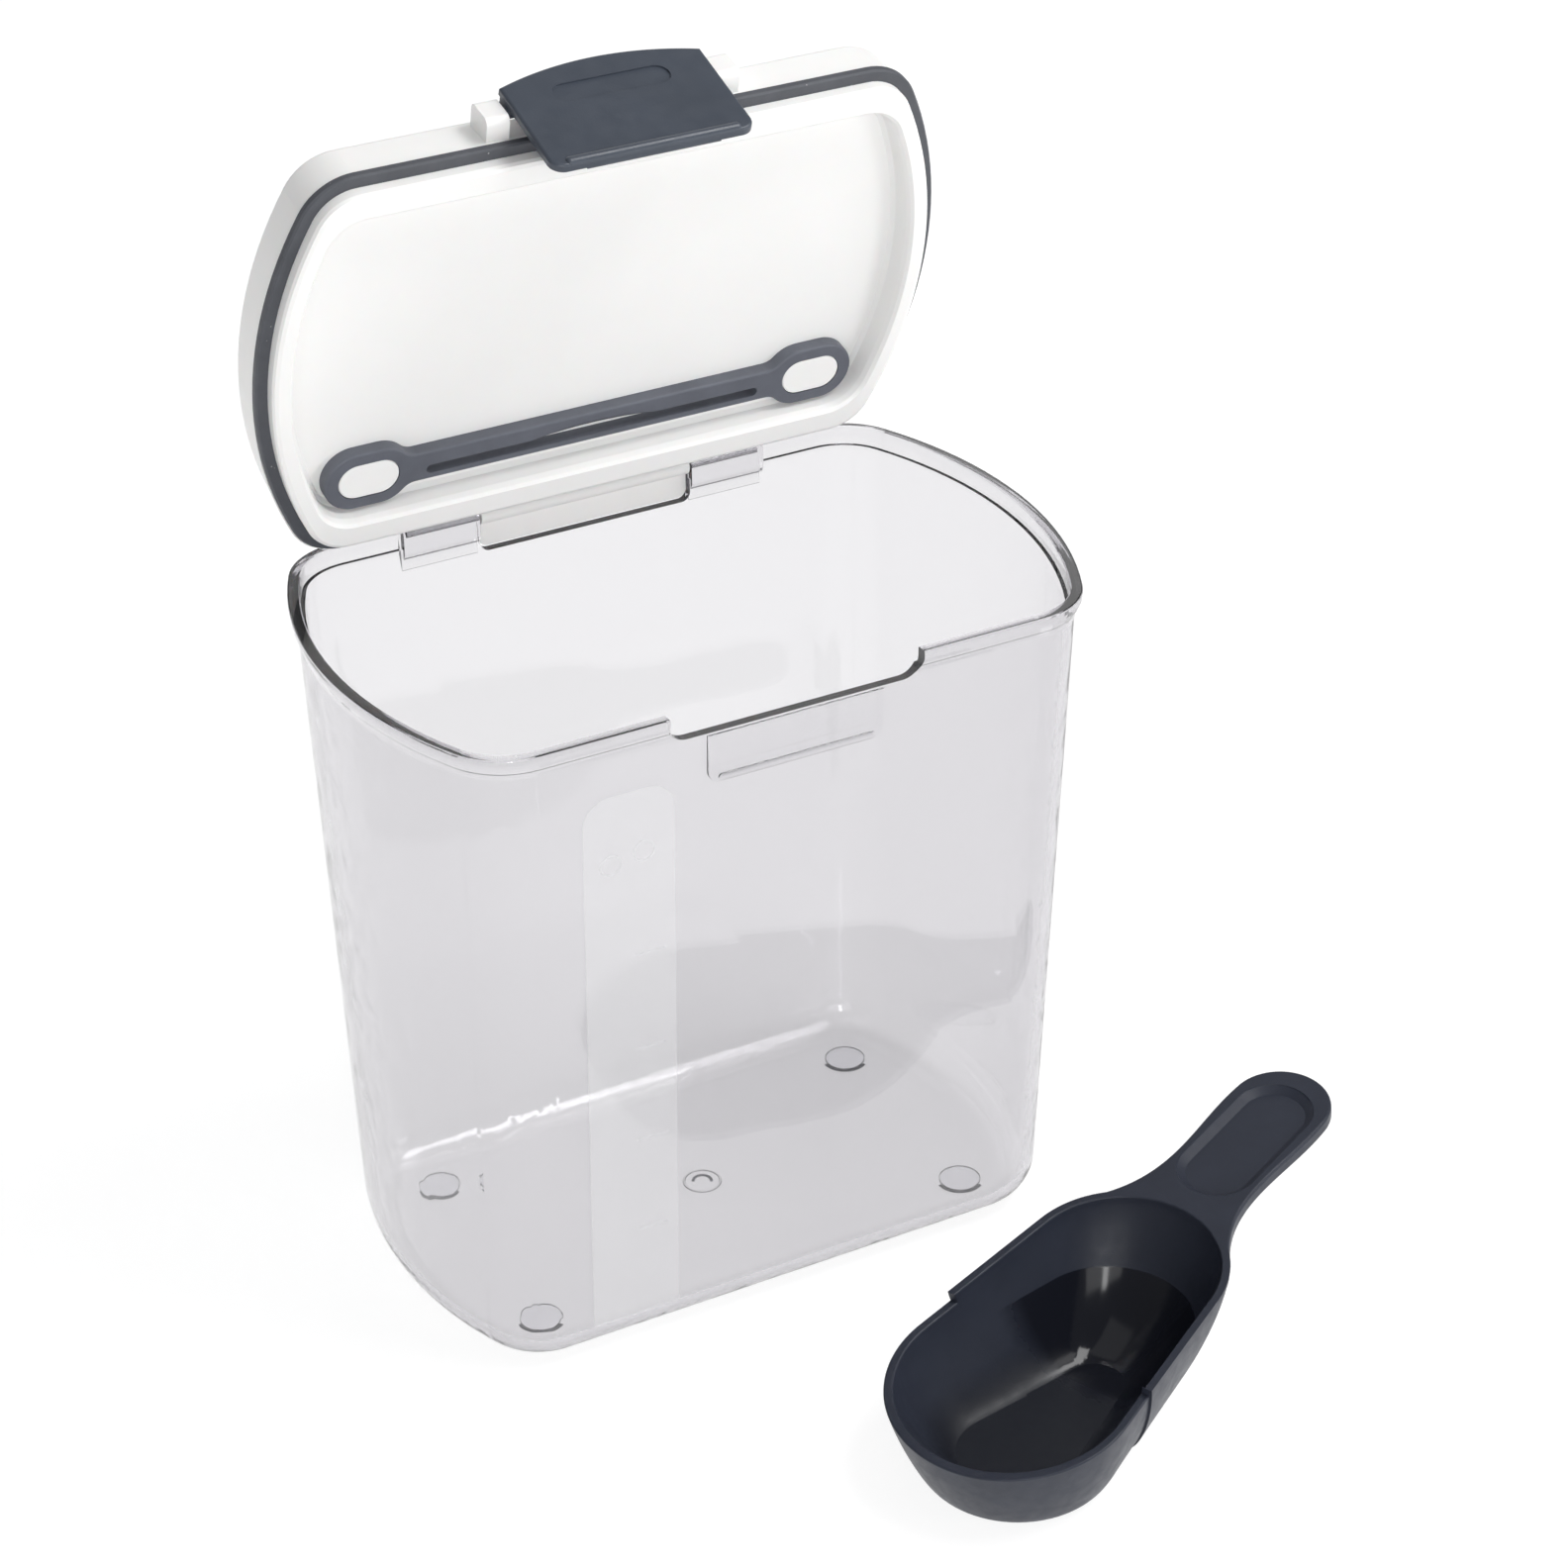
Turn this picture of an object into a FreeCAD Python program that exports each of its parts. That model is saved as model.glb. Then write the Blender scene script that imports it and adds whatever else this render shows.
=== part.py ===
# Pet food bin: a clear tapered tub, a hinged white lid with a latch, and a loose measuring scoop.
# Millimetres, +Z up, the origin in the middle of the base. The lid stands open against its hinge.
import FreeCAD
import Part
import math
import os

V = FreeCAD.Vector
X_AXIS = V(1, 0, 0)
Y_AXIS = V(0, 1, 0)
Z_AXIS = V(0, 0, 1)
ORIGIN = V(0, 0, 0)

# ---- driving dimensions ----
WIDTH = 220.0                # across the rim, outside
DEPTH = 138.0                # front to back across the rim, outside
RIM_Z = 211.7                # top of the rim
SIDE_RADIUS = 128.5          # bow of the two short sides
CORNER_RADIUS = 22.0
TAPER = 9.2                  # each side comes in this much at the base
STRAIGHT = 62.0              # front and back are flat to at least this far from the middle
WALL = 2.8
FLOOR = 3.0
BASE_FILLET = 13.0

RIM_LAND = 3.6               # width of the rim's top face
FLARE_DROP = 8.0             # height over which the wall flares out to the rim
FLARE = 2.0
SEAT_DROP = 5.2              # depth of the gasket seat below the rim
FRONT_NOTCH = (38.8, 8.3, 5.8)    # half width, depth, corner radius
REAR_NOTCH = (34.3, 12.05, 3.0)

HINGE_Y = 65.9               # hinge axis, parallel to X
HINGE_Z = RIM_Z - 0.76
KNUCKLE_R = 2.9
BLOCK_IN = 34.5              # the clear hinge blocks stand between these distances from the middle
BLOCK_OUT = 58.5
PIN_R = 1.2
PIN_IN = 18.0
PIN_OUT = 57.0
RUNNING = 0.06               # radial clearance of a pin in the part that turns on it
OPEN_DEG = 76.8              # how far the lid stands open from closed

GASKET_Z = RIM_Z - 4.84      # underside of the gasket, lid closed
GASKET_INSET = 4.05
GASKET_T = 2.7
LID_INSET = 4.7
LID_H = 17.7                 # from the gasket's underside to the lid's top
LID_DRAFT = 1.0
LID_FILLET = 2.7
LID_WALL = 2.4
PLUG_INSET = 7.6
PLUG_DROP = 4.6              # the plug reaches this far below the gasket
PLUG_WALL = 1.8
RING_FRONT = 16.2            # outer edge of the rim to the edge of the lid's inner panel, in front
RING_SIDE = 14.4
PANEL_RISE = 4.0             # the inner panel lies this far above the gasket's underside
PANEL_T = 2.0
REAR_RUN = 2.5               # gasket and plug stay this much further in along the hinge

STRAP_Y = 39.3
STRAP_X = 70.7               # middle of each post
POST_HALF = (9.3, 5.75)
STRAP_HALF_H = 5.0
STRAP_T = 4.1
SLOT_HALF = (53.0, 1.5)
RELIEF_R = 160.0
RELIEF_DEPTH = 1.3

LATCH_HALF = 30.4
LATCH_Y = -68.3              # latch pin axis
LATCH_Z = RIM_Z + 6.5
LATCH_PIN_R = 1.3
LATCH_TILT = 4.8             # the flap's lean towards the tub as it hangs
FLAP_OUT = 5.6               # outer face of the flap, from the pin axis
FLAP_T = 2.4
FLAP_DROP = 32.6
FLAP_TOP = 3.0
FLAP_ARCH = 5.4
LUG_IN = 31.4
LUG_OUT = 38.2
SWEEP_R = 10.4               # room in the lid's front edge for the latch's upper edge
CATCH_Z = RIM_Z - 22.6
CATCH_Y = -68.0

STRIP_X = (-64.6, -37.1)
STRIP_Z = (11.0, 192.0)
STRIP_T = 0.3
STRIP_GAP = 0.10             # glue line

FOOT_X = 70.8
FOOT_Y = 36.7
FOOT_R = 6.3
FOOT_T = 1.2
WELL_R = 6.4                 # shallow well in the base that holds a pad
WELL_DEPTH = 1.22

SCOOP_AT = (17.3, -158.1)    # centre of the bowl's front arc
SCOOP_TURN = 22.7
SCOOP_PITCH = 8.0            # the rim and the handle rise by this angle
SCOOP_RIM = 30.8             # rim height over the front arc's centre
BOWL_FRONT = 36.6
BOWL_REAR = 30.6
BOWL_RUN = 52.6              # between the two arcs' centres
BOWL_WALL = 2.4
BASE_FRONT = 26.9            # the same arcs where the bowl meets its flat base
BASE_REAR = 18.0
BASE_NOSE = -24.6            # front end of the base
BASE_HEEL = 52.0             # rear end of the base
BULGE = 1.4                  # fullness of the bowl's sides
NOSE_BULGE = 1.14
BASE_SHRINK = 7.5            # the cavity's base is smaller all round by this much more than the wall
FOLD = 0.35                  # the rear half stands out and the front half in by this much
FOLD_LEAN = 14.0
STEP_AT = 17.0
STEP_DROP = 2.4
HANDLE_HALF = 15.3
HANDLE_TIP = 133.7
HANDLE_T = 4.4


# ---- shape helpers ----
def outline(inset_x, front, rear, z, corner=None, bow=None):
    """Closed wire: straight front and back, bowed sides, round corners."""
    half_w = WIDTH / 2 - inset_x
    half_d = (front + rear) / 2
    mid_y = (rear - front) / 2
    bow = SIDE_RADIUS - inset_x if bow is None else bow
    corner = max(CORNER_RADIUS - inset_x, 3.0) if corner is None else corner
    bow_x = half_w - bow
    arc_y = half_d - corner
    arc_x = bow_x + math.sqrt((bow - corner) ** 2 - arc_y ** 2)
    touch = math.atan2(arc_y, arc_x - bow_x)
    edges = []
    for turn in (0, 1):
        sign = 1 if turn == 0 else -1

        def at(x, y):
            return V(sign * x, sign * y + mid_y, z)

        def on_bow(angle):
            return at(bow_x + bow * math.cos(angle), bow * math.sin(angle))

        def on_corner(angle, side):
            return at(side * arc_x + side * corner * math.cos(angle), arc_y + corner * math.sin(angle))

        half = (touch + math.pi / 2) / 2
        edges.append(Part.Arc(on_bow(-touch), on_bow(0), on_bow(touch)).toShape())
        edges.append(Part.Arc(on_corner(touch, 1), on_corner(half, 1), on_corner(math.pi / 2, 1)).toShape())
        edges.append(Part.LineSegment(at(arc_x, half_d), at(-arc_x, half_d)).toShape())
        edges.append(Part.Arc(on_corner(math.pi / 2, -1), on_corner(half, -1), on_corner(touch, -1)).toShape())
    return Part.Wire(edges)


def even_outline(inset, z, corner=None):
    return outline(inset, DEPTH / 2 - inset, DEPTH / 2 - inset, z, corner)


def lofted(wires):
    return Part.makeLoft(wires, True, True)


def raised(wire, height):
    return Part.Face(wire).extrude(V(0, 0, height))


def box(x0, x1, y0, y1, z0, z1):
    return Part.makeBox(x1 - x0, y1 - y0, z1 - z0, V(x0, y0, z0))


def rod(radius, x0, x1, y, z):
    return Part.makeCylinder(radius, x1 - x0, V(x0, y, z), X_AXIS)


def rounded_plate(half_w, z0, z1, radius, y0, y1, upper_radius=None):
    """Plate in the XZ plane with rounded lower corners, and upper ones if asked."""
    plate = box(-half_w, half_w, y0, y1, z0, z1)
    upright = [e for e in plate.Edges if abs(e.Vertexes[0].Y - e.Vertexes[1].Y) > 0.9 * (y1 - y0)]
    low = [e for e in upright if abs(e.Vertexes[0].Z - z0) < 0.01]
    high = [e for e in upright if abs(e.Vertexes[0].Z - z1) < 0.01]
    plate = plate.makeFillet(radius, low)
    if upper_radius:
        high = [e for e in plate.Edges if abs(e.Vertexes[0].Z - z1) < 0.01
                and abs(e.Vertexes[-1].Z - z1) < 0.01
                and abs(e.Vertexes[0].Y - e.Vertexes[-1].Y) > 0.9 * (y1 - y0)]
        plate = plate.makeFillet(upper_radius, high)
    return plate


def slot_wire(half_w, half_h, x, y, z):
    """Oval in the XY plane with round ends."""
    run = half_w - half_h
    a = V(x - run, y - half_h, z)
    b = V(x + run, y - half_h, z)
    c = V(x + run, y + half_h, z)
    d = V(x - run, y + half_h, z)
    return Part.Wire([
        Part.LineSegment(a, b).toShape(),
        Part.Arc(b, V(x + half_w, y, z), c).toShape(),
        Part.LineSegment(c, d).toShape(),
        Part.Arc(d, V(x - half_w, y, z), a).toShape()])


def turned(shape, y, z, degrees):
    """Turn a copy about an axis along X; positive lifts the front."""
    copy = shape.copy()
    copy.rotate(V(0, y, z), X_AXIS, -degrees)
    return copy


# ---- tub ----
def outer_block():
    """Outside of the tub: a taper, then a soft curve out to the rim, whose top edge is rounded."""
    start = RIM_Z - FLARE_DROP
    levels = [even_outline(TAPER, 0.0, 23.0), even_outline(FLARE, start)]
    steps = 6
    for i in range(1, steps + 1):
        t = i / steps
        inset = FLARE * (1 + math.cos(math.pi * t)) / 2
        levels.append(even_outline(inset, start + t * (FLARE_DROP - 1.6)))
    for drop, inset in ((0.5, 0.0), (0.15, 0.15), (0.0, 0.5)):
        levels.append(even_outline(inset, RIM_Z - drop))
    return lofted(levels)


def inner_block():
    return lofted([
        even_outline(TAPER + WALL, FLOOR, 20.0),
        even_outline(FLARE + WALL, RIM_Z - FLARE_DROP),
        even_outline(FLARE + WALL, RIM_Z - SEAT_DROP + 0.5)])


def notch(spec, y0, y1):
    half_w, drop, radius = spec
    return rounded_plate(half_w, RIM_Z - drop, RIM_Z + 20, radius, y0, y1)


def hinge_block(side):
    """Clear knuckle block on the back wall, with a sloping foot."""
    x0 = min(side * BLOCK_IN, side * BLOCK_OUT)
    x1 = max(side * BLOCK_IN, side * BLOCK_OUT)
    foot_front = HINGE_Y - KNUCKLE_R
    back = DEPTH / 2 - 0.2
    profile = Part.makePolygon([
        V(x0, foot_front, HINGE_Z), V(x0, foot_front, RIM_Z - 6.6), V(x0, back - 1.8, RIM_Z - 13.0),
        V(x0, back, RIM_Z - 8.0), V(x0, back, HINGE_Z), V(x0, foot_front, HINGE_Z)])
    foot = Part.Face(profile).extrude(V(x1 - x0, 0, 0))
    block = foot.fuse(rod(KNUCKLE_R, x0, x1, HINGE_Y, HINGE_Z))
    return block


def catch_pad():
    """Raised pad on the front wall with a bead along its lower edge for the latch's hook."""
    wall_y = -(DEPTH / 2 - FLARE)
    pad = rounded_plate(27.2, CATCH_Z - 1.5, RIM_Z - FRONT_NOTCH[1] - 0.6, 4.0, wall_y - 0.4, wall_y + 1.6)
    pad = pad.makeFillet(0.5, [e for e in pad.Edges if e.BoundBox.YMax < wall_y - 0.39])
    bead = rod(1.5, -24.4, 24.4, CATCH_Y + 1.5, CATCH_Z)
    ends = [e for e in bead.Edges if e.Closed]
    bead = bead.makeFillet(1.3, ends)
    return pad.fuse(bead)


def fitted_middle(middle):
    """The straight middle of the tub with its notches, catch and hinge blocks."""
    middle = middle.cut(notch(FRONT_NOTCH, -80, -50))
    middle = middle.cut(notch(REAR_NOTCH, 55, 80))
    middle = middle.fuse(catch_pad())
    for side in (-1, 1):
        middle = middle.fuse(hinge_block(side))
    for side in (-1, 1):
        x0 = min(side * PIN_IN, side * PIN_OUT)
        x1 = max(side * PIN_IN, side * PIN_OUT)
        middle = middle.cut(rod(PIN_R, x0, x1, HINGE_Y, HINGE_Z))
    return middle


def bin_body():
    mouth = lofted([
        even_outline(RIM_LAND, RIM_Z - SEAT_DROP), even_outline(RIM_LAND, RIM_Z - 0.4),
        even_outline(RIM_LAND - 0.4, RIM_Z), even_outline(RIM_LAND - 0.4, RIM_Z + 5)])
    wall = outer_block().cut(inner_block()).cut(mouth)
    section = Part.Face(wall.slice(X_AXIS, 0.0)[0])
    section.translate(V(-STRAIGHT, 0, 0))
    middle = fitted_middle(section.extrude(V(2 * STRAIGHT, 0, 0)))
    body = middle.fuse(wall.cut(box(-STRAIGHT, STRAIGHT, -90, 90, -5, RIM_Z + 20)))
    body = body.removeSplitter()
    inside = [e for e in body.Edges if abs(e.BoundBox.ZMax - FLOOR) < 0.01 and e.BoundBox.ZLength < 0.01]
    body = body.makeFillet(BASE_FILLET - WALL, inside)
    outside = [e for e in body.Edges if e.BoundBox.ZMax < 0.01]
    body = body.makeFillet(BASE_FILLET, outside)
    for x in (-FOOT_X, FOOT_X):
        for y in (-FOOT_Y, FOOT_Y):
            body = body.cut(Part.makeCylinder(WELL_R, WELL_DEPTH + 5, V(x, y, -5)))
    return body


def hinge_pins():
    pins = []
    for side in (-1, 1):
        x0 = min(side * PIN_IN, side * PIN_OUT)
        x1 = max(side * PIN_IN, side * PIN_OUT)
        pins.append(rod(PIN_R, x0, x1, HINGE_Y, HINGE_Z))
    return Part.makeCompound(pins)


def level_strip():
    """Thin frosted film on the front wall, round at the top, that marks the level."""
    x0, x1 = STRIP_X
    z0, z1 = STRIP_Z
    half = (x1 - x0) / 2
    mid = (x0 + x1) / 2
    slope = (TAPER - FLARE) / (RIM_Z - FLARE_DROP)
    face_y = -(DEPTH / 2 - TAPER)
    film = rounded_plate(half, z0, z1, 2.0, -STRIP_T - STRIP_GAP, -STRIP_GAP, 8.0)
    film.translate(V(mid, 0, 0))
    film.rotate(ORIGIN, X_AXIS, math.degrees(math.atan(slope)))
    film.translate(V(0, face_y, 0))
    return film


def foot_pads():
    """Four round clear pads set in wells under the corners of the floor, level with the base."""
    pads = []
    for x in (-FOOT_X, FOOT_X):
        for y in (-FOOT_Y, FOOT_Y):
            disc = Part.makeCylinder(FOOT_R, FOOT_T, V(x, y, 0))
            upper = [e for e in disc.Edges if e.Closed and e.BoundBox.ZMin > FOOT_T - 0.01]
            pads.append(disc.makeFillet(0.5, upper))
    return Part.makeCompound(pads)


# ---- lid, drawn closed and then turned open ----
def plug_outline(inset, z):
    """Outline whose run along the hinge lies further in than the rest."""
    half = DEPTH / 2 - inset
    return outline(inset + REAR_RUN / 5, half, half - REAR_RUN, z)


def ring_outline(z, grow=0.0):
    """Edge of the lid's inner panel."""
    half = DEPTH / 2 - RING_FRONT + grow
    return outline(RING_SIDE - grow, half, half - REAR_RUN, z, 12.0 + grow)


def tongue():
    """Knuckle between the clear blocks, with a flap that hangs in the rear notch when the lid is open."""
    half = REAR_NOTCH[0] - 0.5
    barrel = rod(KNUCKLE_R, -half, half, HINGE_Y, HINGE_Z)
    flap = rounded_plate(half, RIM_Z - REAR_NOTCH[1] + 0.7, HINGE_Z + 0.5, 2.6, HINGE_Y + 0.1, HINGE_Y + KNUCKLE_R)
    flap = turned(flap, HINGE_Y, HINGE_Z, -OPEN_DEG)
    neck = box(-half, half, HINGE_Y - 4.4, HINGE_Y, HINGE_Z - 1.2, HINGE_Z + KNUCKLE_R)
    piece = barrel.fuse(flap).fuse(neck)
    for side in (-1, 1):
        x0 = min(side * (PIN_IN - 0.5), side * PIN_OUT)
        x1 = max(side * (PIN_IN - 0.5), side * PIN_OUT)
        piece = piece.cut(rod(PIN_R + RUNNING, x0, x1, HINGE_Y, HINGE_Z))
    return piece


def lug(side):
    """White lug on the lid's front that holds one end of the latch pin."""
    x0 = min(side * LUG_IN, side * LUG_OUT)
    x1 = max(side * LUG_IN, side * LUG_OUT)
    front = LATCH_Y - KNUCKLE_R
    lug_box = box(x0, x1, front, -(DEPTH / 2 - LID_INSET - 1.5), GASKET_Z + 4.0, LATCH_Z + KNUCKLE_R)
    rounds = [e for e in lug_box.Edges if e.BoundBox.YMax < front + 0.01
              and abs(e.Vertexes[0].X - e.Vertexes[1].X) > 1]
    return lug_box.makeFillet(2.0, rounds)


def lid_cover():
    low = GASKET_Z + GASKET_T
    top = GASKET_Z + LID_H
    levels = [even_outline(LID_INSET, low)]
    steps = 8
    for i in range(steps + 1):
        turn = math.pi / 2 * i / steps
        inset = LID_INSET + LID_DRAFT + LID_FILLET * (1 - math.cos(turn))
        levels.append(even_outline(inset, top - LID_FILLET * (1 - math.sin(turn))))
    outer = lofted(levels)
    inner = lofted([
        even_outline(LID_INSET + LID_WALL, low - 1),
        even_outline(LID_INSET + LID_DRAFT + LID_WALL, top - LID_WALL)])
    cover = outer.cut(inner)
    # a curved hollow in the front edge gives the latch room to swing
    half = LATCH_HALF + 0.8
    cover = cover.cut(rod(SWEEP_R, -half, half, LATCH_Y, LATCH_Z))
    hollow = rod(SWEEP_R + 1.8, -half - 1.8, half + 1.8, LATCH_Y, LATCH_Z)
    hollow = hollow.cut(rod(SWEEP_R, -half, half, LATCH_Y, LATCH_Z))
    hollow = hollow.common(outer).cut(box(-60, 60, -80, -50, low - 9, GASKET_Z + PANEL_RISE + PANEL_T))
    cover = cover.fuse(hollow)
    for side in (-1, 1):
        cover = cover.fuse(lug(side).cut(inner))
        x0 = min(side * (BLOCK_IN - 0.4), side * (BLOCK_OUT + 0.4))
        x1 = max(side * (BLOCK_IN - 0.4), side * (BLOCK_OUT + 0.4))
        cover = cover.cut(box(x0, x1, HINGE_Y - KNUCKLE_R - 0.5, 80, low - 1, HINGE_Z + KNUCKLE_R + 0.4))
    cover = cover.fuse(tongue())
    pin_half = LUG_OUT - 1.4
    cover = cover.cut(rod(LATCH_PIN_R, -pin_half, pin_half, LATCH_Y, LATCH_Z))
    return cover.removeSplitter()


def lid_liner():
    """Inner panel: a plug ring that enters the tub's mouth and a recessed panel with two posts."""
    panel_z = GASKET_Z + PANEL_RISE
    low = GASKET_Z - PLUG_DROP
    edge = LID_INSET + LID_WALL + 0.3
    plate = raised(outline(edge, DEPTH / 2 - edge, DEPTH / 2 - edge, panel_z), PANEL_T)
    plug = lofted([
        plug_outline(PLUG_INSET + 1.4, low), plug_outline(PLUG_INSET + 0.4, low + 0.5),
        plug_outline(PLUG_INSET, low + 1.6), plug_outline(PLUG_INSET, panel_z + 0.1)])
    hole = lofted([
        ring_outline(low - 0.1, 1.6), ring_outline(low + 0.9, 0.6), ring_outline(low + 2.6, 0.0),
        ring_outline(panel_z - 1.2, -0.6), ring_outline(panel_z, -1.8)])
    ring = plug.cut(hole)
    hollow = raised(plug_outline(PLUG_INSET + PLUG_WALL, low + PLUG_WALL), 30)
    hollow = hollow.cut(raised(ring_outline(low + PLUG_WALL - 1, PLUG_WALL), 40))
    liner = plate.fuse(ring).cut(hollow)
    for side in (-1, 1):
        post = raised(slot_wire(POST_HALF[0], POST_HALF[1], side * STRAP_X, STRAP_Y, panel_z - STRAP_T),
                      STRAP_T + 0.5)
        rim = [e for e in post.Edges if e.BoundBox.ZMax < panel_z - STRAP_T + 0.01]
        liner = liner.fuse(post.makeFillet(0.5, rim))
    liner = liner.cut(box(-BLOCK_OUT - 1, BLOCK_OUT + 1, HINGE_Y - 6.0, 80, low, panel_z + 20))
    half = LATCH_HALF + 3.2
    liner = liner.cut(rod(SWEEP_R + 2.0, -half, half, LATCH_Y, LATCH_Z))
    return liner.removeSplitter()


def lid_gasket():
    """Dark seal around the lid between the cover's lower edge and the plug."""
    wide = PLUG_INSET - GASKET_INSET
    outer = lofted([
        plug_outline(GASKET_INSET + 0.5, GASKET_Z), plug_outline(GASKET_INSET, GASKET_Z + 0.6),
        plug_outline(GASKET_INSET, GASKET_Z + GASKET_T - 0.4),
        plug_outline(GASKET_INSET + 0.4, GASKET_Z + GASKET_T)])
    bore = raised(plug_outline(GASKET_INSET + wide, GASKET_Z - 1), GASKET_T + 3)
    return outer.cut(bore)


def scoop_strap():
    """Soft bar held by a loop round each post; the scoop's handle slides behind it."""
    panel_z = GASKET_Z + PANEL_RISE
    low = panel_z - STRAP_T
    bar = box(-STRAP_X, STRAP_X, STRAP_Y - STRAP_HALF_H, STRAP_Y + STRAP_HALF_H, low, panel_z)
    strap = bar
    for side in (-1, 1):
        loop = raised(slot_wire(POST_HALF[0] + 4.2, POST_HALF[1] + 3.9, side * STRAP_X, STRAP_Y, low), STRAP_T)
        strap = strap.fuse(loop)
    strap = strap.removeSplitter()
    waist = [e for e in strap.Edges if e.BoundBox.ZLength > STRAP_T - 0.01
             and abs(abs(e.Vertexes[0].Y - STRAP_Y) - STRAP_HALF_H) < 0.01]
    strap = strap.makeFillet(5.0, waist)
    face = [e for e in strap.Edges if e.BoundBox.ZMax < low + 0.01]
    strap = strap.makeFillet(0.8, face)
    for side in (-1, 1):
        strap = strap.cut(raised(slot_wire(
            POST_HALF[0] + 0.15, POST_HALF[1] + 0.15, side * STRAP_X, STRAP_Y, low - 1), STRAP_T + 2))
    slot = raised(slot_wire(SLOT_HALF[0], SLOT_HALF[1], 0, STRAP_Y + 1.4, low - 1), STRAP_T + 2)
    strap = strap.cut(slot)
    # a shallow lens-shaped relief where a thumb opens the slot
    edge_y = STRAP_Y + 1.4 - SLOT_HALF[1]
    lens = Part.makeCylinder(RELIEF_R, 60, V(0, 0, -30))
    lens.translate(V(0, RELIEF_R - RELIEF_DEPTH, 0))
    lens.rotate(ORIGIN, X_AXIS, -50)
    lens.translate(V(0, edge_y, low))
    return strap.cut(lens.common(box(-40, 40, edge_y - 5, edge_y + 0.8, low - 3, low + 6)))


# ---- latch, drawn upright and then leant ----
def latch():
    y_out = LATCH_Y - FLAP_OUT
    y_in = y_out + FLAP_T
    corner_z = LATCH_Z + FLAP_TOP
    low = LATCH_Z - FLAP_DROP
    half = LATCH_HALF
    radius = 4.2
    a = V(-half, y_out, corner_z)
    b = V(-half, y_out, low + radius)
    c = V(-half + radius, y_out, low)
    d = V(half - radius, y_out, low)
    e = V(half, y_out, low + radius)
    f = V(half, y_out, corner_z)
    bend = radius * (1 - math.cos(math.pi / 4))
    face = Part.Wire([
        Part.LineSegment(a, b).toShape(),
        Part.Arc(b, V(-half + bend, y_out, low + bend), c).toShape(),
        Part.LineSegment(c, d).toShape(),
        Part.Arc(d, V(half - bend, y_out, low + bend), e).toShape(),
        Part.LineSegment(e, f).toShape(),
        Part.Arc(f, V(0, y_out, corner_z + FLAP_ARCH), a).toShape()])
    flap = Part.Face(face).extrude(V(0, FLAP_T, 0))
    front = [g for g in flap.Edges if g.BoundBox.YMax < y_out + 0.01]
    flap = flap.makeFillet(0.9, front)
    lip = rod(1.7, -half + radius, half - radius, y_out + 0.9, low + 1.7)
    lip = lip.makeFillet(1.2, [g for g in lip.Edges if g.Closed])
    barrel = rod(KNUCKLE_R - 0.3, -half, half, LATCH_Y, LATCH_Z)
    web = box(-half, half, y_in - 0.5, LATCH_Y, LATCH_Z - 2.0, LATCH_Z + 2.0)
    hook = Part.Face(Part.makePolygon([
        V(-20, y_in - 0.5, low + 1.8), V(-20, y_in + 0.96, low + 1.4), V(-20, y_in + 0.96, low + 0.6),
        V(-20, y_in - 0.5, low + 0.1), V(-20, y_in - 0.5, low + 1.8)])).extrude(V(40, 0, 0))
    piece = flap.fuse(lip).fuse(barrel).fuse(web).fuse(hook)
    plate_mark = raised(slot_wire(17.5, 3.9, 0, 0, 0), 2)
    plate_mark.rotate(ORIGIN, X_AXIS, 90)
    plate_mark.translate(V(0, y_out + 0.5, LATCH_Z - 4.2))
    piece = piece.cut(plate_mark)
    piece = piece.cut(rod(LATCH_PIN_R + RUNNING, -half - 1, half + 1, LATCH_Y, LATCH_Z))
    return piece.removeSplitter()


def latch_pin():
    pin_half = LUG_OUT - 1.4
    return rod(LATCH_PIN_R, -pin_half, pin_half, LATCH_Y, LATCH_Z)


# ---- scoop, drawn with its bowl's front arc at the origin and its handle along +X ----
def bowl_wire(front_r, rear_r, front_x, rear_x, z):
    """Two arcs of different radius joined by their common tangents."""
    lean = math.asin((front_r - rear_r) / (rear_x - front_x))
    tip = math.pi / 2 - lean

    def on(x, radius, angle):
        return V(x + radius * math.cos(angle), radius * math.sin(angle), z)

    return Part.Wire([
        Part.Arc(on(rear_x, rear_r, -tip), on(rear_x, rear_r, 0), on(rear_x, rear_r, tip)).toShape(),
        Part.LineSegment(on(rear_x, rear_r, tip), on(front_x, front_r, tip)).toShape(),
        Part.Arc(on(front_x, front_r, tip), on(front_x, front_r, math.pi), on(front_x, front_r, -tip)).toShape(),
        Part.LineSegment(on(front_x, front_r, -tip), on(rear_x, rear_r, -tip)).toShape()])


def bowl_level(turn, lift, grow, floor_z, shrink):
    """Outline of the bowl at one level; turn runs from 0 at the rim to 90 degrees at the base."""
    drawn = 1 - math.cos(turn) ** (2 / BULGE)
    nose = 1 - (1 - (1 - min(lift, 1)) ** NOSE_BULGE) ** (1 / NOSE_BULGE)
    front_r = BOWL_FRONT + (BASE_FRONT - shrink - BOWL_FRONT) * drawn
    front_x = -BOWL_FRONT + (BASE_NOSE + shrink + BOWL_FRONT) * nose + front_r
    rear_r = BOWL_REAR + (BASE_REAR - shrink - BOWL_REAR) * drawn
    rear_end = BOWL_RUN + BOWL_REAR
    rear_x = rear_end + (BASE_HEEL - rear_end) * drawn - rear_r
    wire = bowl_wire(front_r + grow, rear_r + grow, front_x, rear_x, 0)
    slope = lift * math.tan(math.radians(SCOOP_PITCH))
    wire.rotate(ORIGIN, Y_AXIS, -math.degrees(math.atan(slope)))
    wire.translate(V(0, 0, floor_z + lift * (SCOOP_RIM - floor_z)))
    return wire


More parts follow.
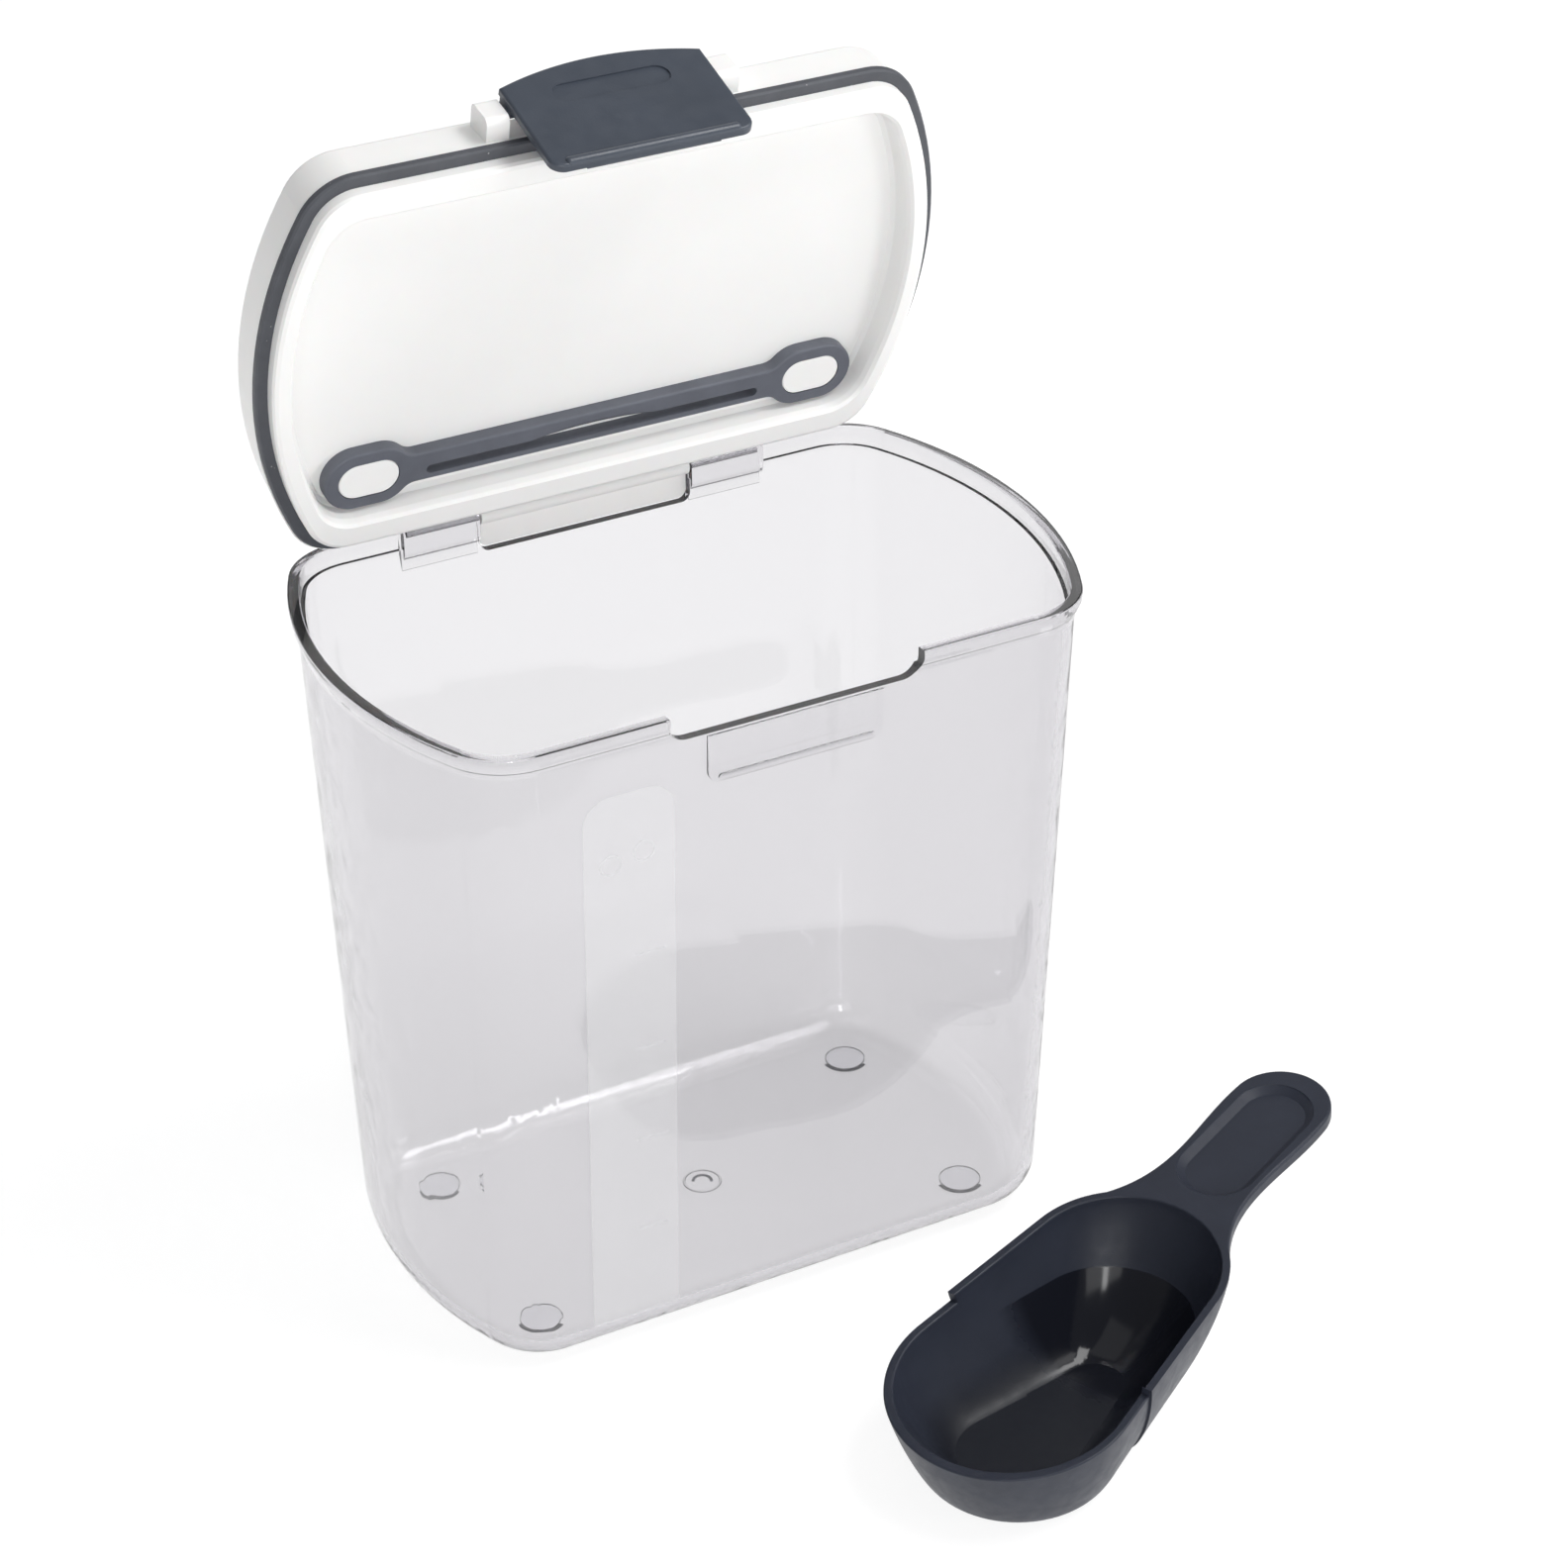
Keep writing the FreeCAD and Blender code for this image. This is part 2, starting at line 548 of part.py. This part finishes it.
def bowl_block(grow, floor_z, shrink):
    levels = []
    steps = 8
    for i in range(steps, -1, -1):
        turn = math.pi / 2 * i / steps
        levels.append(bowl_level(turn, 1 - math.sin(turn) ** (2 / BULGE), grow, floor_z, shrink))
    levels.append(bowl_level(0, 1.3, grow, floor_z, shrink))
    return Part.makeLoft(levels, True, False)


def fold_side(front):
    """Half space in front of, or behind, the leaning fold line of the bowl."""
    half = box(-120, 0, -90, 90, -90, 90) if front else box(0, 120, -90, 90, -90, 90)
    half.rotate(ORIGIN, Y_AXIS, -FOLD_LEAN)
    half.translate(V(STEP_AT, 0, SCOOP_RIM + STEP_AT * math.tan(math.radians(SCOOP_PITCH))))
    return half


def bowl_form(grow, floor_z, shrink):
    front = bowl_block(grow - FOLD, floor_z, shrink).common(fold_side(True))
    rear = bowl_block(grow + FOLD, floor_z, shrink).common(fold_side(False))
    return front.fuse(rear)


def above_rim():
    """Everything above the rising rim, with the lower front part behind a small step."""
    rear = box(STEP_AT, 200, -80, 80, 0, 120)
    front = box(-80, STEP_AT, -80, 80, -STEP_DROP, 120)
    return front.fuse(rear)


def pitched(shape):
    copy = shape.copy()
    copy.rotate(ORIGIN, Y_AXIS, -SCOOP_PITCH)
    copy.translate(V(0, 0, SCOOP_RIM))
    return copy


def handle_blank():
    half = HANDLE_HALF
    left = [V(62, 28.5, 0), V(70, 25.2, 0), V(77, 20.6, 0), V(86, 16.6, 0), V(97, 14.6, 0), V(115, 14.9, 0),
            V(HANDLE_TIP, half, 0)]
    right = [V(p.x, -p.y, 0) for p in reversed(left)]
    upper = Part.BSplineCurve()
    upper.interpolate(left)
    lower = Part.BSplineCurve()
    lower.interpolate(right)
    tip = Part.Arc(left[-1], V(HANDLE_TIP + half, 0, 0), right[0])
    close = Part.LineSegment(right[-1], left[0])
    blank = Part.Face(Part.Wire([upper.toShape(), tip.toShape(), lower.toShape(), close.toShape()]))
    blank = blank.extrude(V(0, 0, -HANDLE_T))
    around = [e for e in blank.Edges if e.BoundBox.ZLength < 0.01 and e.BoundBox.XMax > 63]
    blank = blank.makeFillet(0.9, around)
    mid = (89.5 + 142.0) / 2
    run = (142.0 - 89.5) / 2
    pocket = lofted([
        slot_wire(run - 2.4, 9.6, mid, 0, -2.0), slot_wire(run, 12.0, mid, 0, -0.3),
        slot_wire(run + 0.4, 12.4, mid, 0, 0.5)])
    return blank.cut(pocket)


def rim_level(point):
    """Height of a point above the rising plane of the rear rim."""
    rise = math.radians(SCOOP_PITCH)
    return (point.z - SCOOP_RIM) * math.cos(rise) - point.x * math.sin(rise)


def rim_edges(piece):
    """Both edges of the lower front rim, and the inner edge of the rear rim's two sides."""
    chosen = []
    for edge in piece.Edges:
        points = edge.discretize(5)
        middle = points[2]
        front = all(abs(rim_level(p) + STEP_DROP) < 0.02 for p in points)
        rear = all(abs(rim_level(p)) < 0.02 for p in points)
        if front and edge.Length > 3:
            chosen.append(edge)
        if rear and edge.Length > 30 and middle.x < 50 and 25 < abs(middle.y) < 32:
            chosen.append(edge)
    return chosen


def scoop():
    bowl = bowl_form(0, 0, 0).cut(pitched(above_rim()))
    piece = bowl.fuse(pitched(handle_blank())).cut(bowl_form(-BOWL_WALL, BOWL_WALL, BASE_SHRINK))
    piece = piece.makeFillet(0.5, rim_edges(piece))
    piece.rotate(ORIGIN, Z_AXIS, SCOOP_TURN)
    piece.translate(V(SCOOP_AT[0], SCOOP_AT[1], 0))
    return piece


def lid_open(shape):
    return turned(shape, HINGE_Y, HINGE_Z, OPEN_DEG)


def latch_leant(shape):
    return turned(shape, LATCH_Y, LATCH_Z, -LATCH_TILT)


NODES = {
    "bin_body": bin_body,
    "hinge_pins": hinge_pins,
    "level_strip": level_strip,
    "foot_pads": foot_pads,
    "lid_cover": lambda: lid_open(lid_cover()),
    "lid_liner": lambda: lid_open(lid_liner()),
    "lid_gasket": lambda: lid_open(lid_gasket()),
    "scoop_strap": lambda: lid_open(scoop_strap()),
    "latch_pin": lambda: lid_open(latch_pin()),
    "latch": lambda: lid_open(latch_leant(latch())),
    "scoop": scoop,
}

os.makedirs("parts", exist_ok=True)
for name, make in NODES.items():
    shape = make()
    shape.exportStep("parts/" + name + ".step")
    box_now = shape.BoundBox
    print(name, "valid", shape.isValid(), "solids", len(shape.Solids), "cm3", round(shape.Volume / 1000, 2),
          "z", round(box_now.ZMin, 2), round(box_now.ZMax, 2))
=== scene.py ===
# Looks for the pet food bin: procedural materials, small surface details, studio stage and camera.
import math
import bpy
from mathutils import Matrix, Vector


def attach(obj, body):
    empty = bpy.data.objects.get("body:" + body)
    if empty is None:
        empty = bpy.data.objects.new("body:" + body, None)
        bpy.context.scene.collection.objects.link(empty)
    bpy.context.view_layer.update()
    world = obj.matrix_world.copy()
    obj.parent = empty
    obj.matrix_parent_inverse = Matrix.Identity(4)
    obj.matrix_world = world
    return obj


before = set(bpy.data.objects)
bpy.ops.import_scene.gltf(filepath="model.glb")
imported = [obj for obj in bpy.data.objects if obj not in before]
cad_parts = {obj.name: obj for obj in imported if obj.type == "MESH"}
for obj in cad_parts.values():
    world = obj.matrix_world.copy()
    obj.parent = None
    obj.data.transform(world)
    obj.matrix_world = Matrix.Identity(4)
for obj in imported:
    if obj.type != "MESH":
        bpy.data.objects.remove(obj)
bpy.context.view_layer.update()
scene = bpy.context.scene
MM = 0.001


# ---- material helpers ----
class Mat:
    """One Principled material, with short calls for its procedural inputs."""

    def __init__(self, name, color, rough=0.4, ior=1.5, **fixed):
        self.m = bpy.data.materials.new(name)
        self.m.use_nodes = True
        self.t = self.m.node_tree
        self.b = self.t.nodes["Principled BSDF"]
        self.color, self.rough = color, rough
        self.b.inputs["Base Color"].default_value = (*color, 1)
        self.b.inputs["Roughness"].default_value = rough
        self.b.inputs["IOR"].default_value = ior
        for k, v in fixed.items():
            self.b.inputs[k.replace("_", " ")].default_value = v
        self.co = self.add("ShaderNodeTexCoord").outputs["Object"]

    def add(self, kind, **props):
        n = self.t.nodes.new(kind)
        for k, v in props.items():
            setattr(n, k, v)
        return n

    def link(self, a, b):
        self.t.links.new(a, b)

    def noise(self, scale, detail=3, rough=0.55, stretch=None):
        co = self.co
        if stretch:
            mp = self.add("ShaderNodeMapping")
            mp.inputs["Scale"].default_value = stretch
            self.link(co, mp.inputs["Vector"])
            co = mp.outputs["Vector"]
        n = self.add("ShaderNodeTexNoise")
        n.inputs["Scale"].default_value = scale
        n.inputs["Detail"].default_value = detail
        n.inputs["Roughness"].default_value = rough
        self.link(co, n.inputs["Vector"])
        return n.outputs["Fac"]

    def span(self, fac, lo, hi, a=0.3, b=0.7):
        r = self.add("ShaderNodeMapRange")
        for i, v in zip(("From Min", "From Max", "To Min", "To Max"), (a, b, lo, hi)):
            r.inputs[i].default_value = v
        self.link(fac, r.inputs["Value"])
        return r.outputs["Result"]

    def math(self, op, a, b):
        n = self.add("ShaderNodeMath", operation=op)
        for s, v in zip(n.inputs, (a, b)):
            if isinstance(v, (int, float)):
                s.default_value = v
            else:
                self.link(v, s)
        return n.outputs[0]

    def mix(self, fac, a, b):
        n = self.add("ShaderNodeMix", data_type="RGBA")
        self.link(fac, n.inputs["Factor"])
        for s, v in ((n.inputs[6], a), (n.inputs[7], b)):
            if isinstance(v, tuple):
                s.default_value = (*v, 1)
            else:
                self.link(v, s)
        return n.outputs[2]

    def tint(self, fac, amount):
        c = self.color
        dark = tuple(max(x * (1 - amount), 0) for x in c)
        light = tuple(min(x * (1 + amount), 1) for x in c)
        out = self.mix(self.span(fac, 0, 1), dark, light)
        self.link(out, self.b.inputs["Base Color"])
        return out

    def rough_by(self, fac, amount):
        varied = self.span(fac, max(self.rough - amount, 0), self.rough + amount)
        self.link(varied, self.b.inputs["Roughness"])

    def bump(self, height, distance, strength=1.0):
        n = self.add("ShaderNodeBump")
        n.inputs["Distance"].default_value = distance
        n.inputs["Strength"].default_value = strength
        self.link(height, n.inputs["Height"])
        self.link(n.outputs["Normal"], self.b.inputs["Normal"])

    def sum(self, *parts):
        out = None
        for fac, w in parts:
            term = self.math("MULTIPLY", fac, w)
            out = term if out is None else self.math("ADD", out, term)
        return out


def white_plastic(name, color, rough):
    m = Mat(name, color, rough, 1.47, Subsurface_Weight=0.08, Subsurface_Scale=0.002)
    m.tint(m.noise(28, 4), 0.012)
    m.rough_by(m.noise(160, 3), 0.05)
    m.bump(m.sum((m.noise(2600, 2), 0.6), (m.noise(55, 2), 0.4)), 0.00004, 0.5)
    return m.m


def satin(name, color, rough, grain=3000, depth=0.00003, tint=0.06):
    m = Mat(name, color, rough, 1.5)
    m.tint(m.noise(60, 5), tint)
    m.rough_by(m.noise(220, 4), 0.06)
    m.bump(m.noise(grain, 2), depth, 0.7)
    return m


def clear(name, color, rough, ior, absorb, density):
    m = Mat(name, color, rough, ior, Transmission_Weight=0.975)
    m.rough_by(m.noise(40, 4, 0.7), rough * 0.5)
    m.bump(m.sum((m.noise(9, 1), 0.8), (m.noise(30, 2, 0.5, (1, 1, 0.3)), 0.2)), 0.00012, 0.25)
    v = m.add("ShaderNodeVolumeAbsorption")
    v.inputs["Color"].default_value = (*absorb, 1)
    v.inputs["Density"].default_value = density
    m.link(v.outputs["Volume"], m.t.nodes["Material Output"].inputs["Volume"])
    return m.m


def frosted(name):
    m = Mat(name, (0.80, 0.80, 0.81), 0.5, 1.3, Alpha=0.13)
    m.tint(m.noise(160, 4), 0.02)
    m.rough_by(m.noise(300, 3), 0.06)
    m.bump(m.noise(700, 2), 0.00003, 0.3)
    return m.m


def rubber(name, color, rough, speck=0.0):
    m = Mat(name, color, rough, 1.45)
    base = m.tint(m.noise(80, 5), 0.10)
    m.rough_by(m.noise(400, 3), 0.07)
    m.bump(m.sum((m.noise(1800, 3), 0.8), (m.noise(120, 2), 0.2)), 0.00005, 0.8)
    if speck:
        d = m.add("ShaderNodeTexVoronoi")
        d.inputs["Scale"].default_value = 420
        m.link(m.co, d.inputs["Vector"])
        pick = m.math("LESS_THAN", d.outputs["Distance"], 0.10)
        some = m.math("GREATER_THAN", m.noise(90, 1), 0.58)
        fac = m.math("MULTIPLY", m.math("MULTIPLY", pick, some), speck)
        m.link(m.mix(fac, base, (0.5, 0.5, 0.5)), m.b.inputs["Base Color"])
    return m.m


def steel(name):
    m = Mat(name, (0.62, 0.62, 0.64), 0.28, 1.5, Metallic=1.0)
    f = m.noise(500, 3, 0.6, (0.05, 1, 1))
    m.tint(f, 0.08)
    m.rough_by(f, 0.08)
    return m.m


SCOOP_AXIS = (0.9225, 0.3859)  # points from the bowl to the handle
# painted shade: the dark colour that the bowl's up-facing floor and rear are mixed towards
SCOOP_SHADE = (0.0085, 0.0095, 0.0145)
GLOSS_TOP = (0.0215, 0.0220)  # heights between which the gloss and its painted shade end, in m
GLOSS_FRONT = (-0.0150, -0.0050)  # places along the axis between which they begin
FLOOR_SHADE_FADE = (0.0040, 0.0120)  # heights between which the painted shade on the floor ends


def scoop_mat(name):
    """Satin. Where the bowl's inside looks up, its rear is glossy, and its rear and floor are darkened
    as painted shade.
    """
    m = Mat(name, (0.0225, 0.0265, 0.0405), 0.40, 1.5, Specular_IOR_Level=0.30)
    n = m.add("ShaderNodeTexCoord").outputs["Normal"]
    sep = m.add("ShaderNodeSeparateXYZ")
    m.link(n, sep.inputs[0])
    up = m.span(sep.outputs["Z"], 0, 1, 0.02, 0.30)
    low = m.add("ShaderNodeSeparateXYZ")
    m.link(m.co, low.inputs[0])
    below = m.span(low.outputs["Z"], 1, 0, *GLOSS_TOP)
    along = m.sum((low.outputs["X"], SCOOP_AXIS[0]), (low.outputs["Y"], SCOOP_AXIS[1]))
    rear = m.span(along, 0, 1, *GLOSS_FRONT)
    # Painted shade: up-facing inside at the floor (level) and at the glossy rear (gloss) is mixed
    # towards the dark colour.
    level = m.span(low.outputs["Z"], 0.8, 0, *FLOOR_SHADE_FADE)
    gloss = m.math("MULTIPLY", up, m.math("MULTIPLY", below, rear))
    dark = m.math("MAXIMUM", gloss, m.math("MULTIPLY", up, level))
    base = m.tint(m.noise(70, 5), 0.08)
    m.link(m.mix(dark, base, SCOOP_SHADE), m.b.inputs["Base Color"])
    grain = m.span(m.noise(260, 3), 0.36, 0.47)
    smooth = m.span(m.noise(60, 2), 0.10, 0.16)
    r = m.add("ShaderNodeMix", data_type="FLOAT")
    m.link(gloss, r.inputs[0])
    m.link(grain, r.inputs[2])
    m.link(smooth, r.inputs[3])
    m.link(r.outputs[0], m.b.inputs["Roughness"])
    h = m.math("MULTIPLY", m.noise(2600, 2), m.math("SUBTRACT", 1.0, gloss))
    m.bump(h, 0.00004, 0.7)
    return m.m


# ---- materials onto the fixed nodes ----
body_clear = clear("clear_plastic", (0.985, 0.983, 0.985), 0.022, 1.49, (0.12, 0.09, 0.17), 60.0)
looks = {
    "bin_body": body_clear,
    "foot_pads": clear("clear_pad", (0.95, 0.95, 0.97), 0.03, 1.49, (0.2, 0.2, 0.3), 60.0),
    "hinge_pins": steel("pin_steel"),
    "level_strip": frosted("frosted_film"),
    "lid_cover": white_plastic("lid_white", (0.885, 0.880, 0.865), 0.34),
    "lid_liner": white_plastic("liner_white", (0.880, 0.876, 0.862), 0.36),
    "lid_gasket": rubber("seal_dark", (0.074, 0.078, 0.090), 0.55, 0.6),
    "scoop_strap": rubber("strap_grey", (0.108, 0.116, 0.140), 0.46),
    "latch_pin": steel("latch_pin_steel"),
    "latch": satin("latch_blue_grey", (0.050, 0.060, 0.079), 0.34).m,
    "scoop": scoop_mat("scoop_navy"),
}
for node, mat in looks.items():
    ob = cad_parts[node]
    for i in range(len(ob.material_slots)):
        ob.material_slots[i].material = mat


# ---- small details on the tub, in mm ----
RING_STEP = 6  # degrees between a ring's sections
RING_SIDES = 10
FLATNESS = 0.6  # a ring's height over its width
TICK_DEPTH = 0.09


def piece(name, verts, faces, node, body, look=None):
    """A mesh given in mm that rides on a body and takes the look of a node unless another look is
    given.
    """
    me = bpy.data.meshes.new(name)
    me.from_pydata([tuple(c * MM for c in v) for v in verts], [], faces)
    me.materials.append(look or looks[node])
    for f in me.polygons:
        f.use_smooth = len(f.vertices) == 4 and len(faces) > 20
    ob = bpy.data.objects.new(name, me)
    scene.collection.objects.link(ob)
    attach(ob, body)
    return ob


def ring(name, centre, radius, thick, node, body, arc=360, start=0, wall=None, look=None):
    """A flattened ring on the floor or on the sloping wall, or a part of one with closed ends."""
    n = max(int(arc / RING_STEP), 8)
    m = RING_SIDES
    closed = arc >= 360
    verts, faces = [], []
    count = n if closed else n + 1
    for i in range(count):
        a = math.radians(start + arc * i / n)
        for j in range(m):
            b = 2 * math.pi * j / m
            r = radius + thick * math.cos(b)
            x = centre[0] + r * math.cos(a)
            y = centre[1] + r * math.sin(a)
            z = centre[2] + thick * FLATNESS * math.sin(b)
            verts.append((x, y, z))
    for i in range(n):
        k = (i + 1) % count
        for j in range(m):
            q = (j + 1) % m
            faces.append((i * m + j, k * m + j, k * m + q, i * m + q))
    if not closed:
        faces.append(tuple(reversed(range(m))))
        faces.append(tuple(n * m + j for j in range(m)))
    if wall:
        slope, y0 = wall
        verts = [(x, y0 - slope * y - z, y) for x, y, z in verts]
    return piece(name, verts, faces, node, body, look)


def tick(name, x0, x1, z, high, slope, y0):
    """A thin raised bar on the sloping face of the strip."""
    y = y0 - slope * z
    v = [(x0, y, z), (x1, y, z), (x1, y - slope * high, z + high), (x0, y - slope * high, z + high)]
    verts = v + [(x, yy - TICK_DEPTH, zz) for x, yy, zz in v]
    faces = [(0, 1, 2, 3), (7, 6, 5, 4), (0, 4, 5, 1), (1, 5, 6, 2), (2, 6, 7, 3), (3, 7, 4, 0)]
    return piece(name, verts, faces, "level_strip", "tub")


# The strip's front face leans forward as it rises, from FACE at the base.
SLOPE, FACE = 7.2 / 203.7, -59.8 - 0.40
LEVELS = (42, 74, 106, 138)
TICK_LEFT, TICK_RIGHT, TICK_HIGH = -49.5, -40.5, 0.7
for n, z in enumerate(LEVELS):
    tick("level_tick_%d" % n, TICK_LEFT, TICK_RIGHT, z, TICK_HIGH, SLOPE, FACE)
ring("level_mark_high", (-56.5, 170.0, 0.0), 3.1, 0.35, "level_strip", "tub", wall=(SLOPE, FACE))
ring("level_mark_high_2", (-46.5, 172.0, 0.0), 3.1, 0.35, "level_strip", "tub", wall=(SLOPE, FACE))

# The moulding mark in the middle of the floor, with a dark arc of painted shade in it, and a dark arc
# of painted shade at each foot's edge.
ring("gate_mark", (0.0, -1.0, 3.0), 5.6, 0.4, "bin_body", "tub")
shade = satin("edge_shade", (0.16, 0.165, 0.19), 0.3).m
ring("gate_shade_arc", (0.0, -1.0, 3.1), 2.8, 0.5, "bin_body", "tub", arc=190, start=-33, look=shade)
FOOT_X, FOOT_Y = 70.8, 36.7
feet = [(x, y) for y in (-FOOT_Y, FOOT_Y) for x in (-FOOT_X, FOOT_X)]
for n, (x, y) in enumerate(feet):
    ring("foot_shade_arc_%d" % n, (x, y, 0.7), 6.85, 0.62, "bin_body", "tub", arc=124, start=180, look=shade)


# ---- stage ----
def plain(name, color, rough=0.9):
    m = Mat(name, color, rough, 1.3, Emission_Color=(1, 1, 1, 1), Emission_Strength=0.86)
    m.tint(m.noise(3, 2), 0.004)
    return m.m


FLOOR_SIZE, FLOOR_Z = 12, -0.0003
bpy.ops.mesh.primitive_plane_add(size=FLOOR_SIZE, location=(0, 0, FLOOR_Z))
floor = bpy.context.object
floor.name = "studio_floor"
floor.data.materials.append(plain("floor_white", (0.25, 0.25, 0.25)))

# A pale world, a little darker overhead.
world = bpy.data.worlds.new("studio")
scene.world = world
world.use_nodes = True
wt = world.node_tree
wc = wt.nodes.new("ShaderNodeTexCoord")
ws = wt.nodes.new("ShaderNodeSeparateXYZ")
wr = wt.nodes.new("ShaderNodeValToRGB")
wt.links.new(wc.outputs["Generated"], ws.inputs[0])
wt.links.new(ws.outputs["Z"], wr.inputs[0])
wt.links.new(wr.outputs["Color"], wt.nodes["Background"].inputs["Color"])
el = wr.color_ramp.elements
el[0].position, el[0].color = 0.05, (0.78, 0.78, 0.82, 1)
el[1].position, el[1].color = 0.60, (0.62, 0.62, 0.63, 1)
mid = el.new(0.25)
mid.color = (0.80, 0.80, 0.82, 1)
wt.nodes["Background"].inputs["Strength"].default_value = 0.36


def softbox(name, place, aim, size, power):
    data = bpy.data.lights.new(name, "AREA")
    data.shape, data.size, data.size_y, data.energy = "RECTANGLE", size[0], size[1], power
    ob = bpy.data.objects.new(name, data)
    scene.collection.objects.link(ob)
    ob.location = place
    ob.rotation_mode = "QUATERNION"
    ob.rotation_quaternion = (Vector(aim) - Vector(place)).to_track_quat("-Z", "Y")
    return ob


softbox("key_top", (-0.5, -0.2, 1.9), (0, 0, 0.1), (1.4, 1.4), 3.0)
softbox("front_fill", (-0.7, -2.1, 0.75), (0, 0, 0.2), (1.8, 1.2), 12.5)
softbox("glint", (-0.75, -2.0, 0.95), (0, 0, 0.15), (0.24, 0.9), 6.0)
softbox("fill_right", (1.5, -0.6, 1.1), (0, 0, 0.1), (0.8, 1.2), 6.0)
softbox("low_right", (1.1, -1.3, 0.35), (0, 0, 0.1), (0.6, 0.8), 6.0)
softbox("top_box", (0.70, -0.40, 1.5), (0.05, 0, 0.05), (0.9, 0.55), 13.0)
softbox("back_light", (0.3, 1.5, 1.2), (0, 0, 0.1), (1.6, 0.7), 3.5)

# ---- camera ----
AZ, EL, ROLL = math.radians(-27.711), math.radians(31.085), math.radians(-0.626)
DIST, AIM = 1.1891, Vector((0.0281952, -0.0056661, 0.139194))
back = Vector((math.sin(AZ) * math.cos(EL), -math.cos(AZ) * math.cos(EL), math.sin(EL)))
side = Vector((math.cos(AZ), math.sin(AZ), 0))
up = back.cross(side)
side_r = side * math.cos(ROLL) + up * math.sin(ROLL)
up_r = up * math.cos(ROLL) - side * math.sin(ROLL)
cam_data = bpy.data.cameras.new("camera")
cam_data.lens, cam_data.sensor_width = 93.27, 36.0
cam_data.clip_start, cam_data.clip_end = 0.01, 50
cam = bpy.data.objects.new("camera", cam_data)
scene.collection.objects.link(cam)
turn = Matrix((side_r, up_r, back)).transposed().to_4x4()
cam.matrix_world = Matrix.Translation(AIM + back * DIST) @ turn
scene.camera = cam

scene.view_settings.view_transform = "Standard"
scene.view_settings.look = "None"
scene.cycles.max_bounces = 20
scene.cycles.transmission_bounces = 18
scene.cycles.glossy_bounces = 6
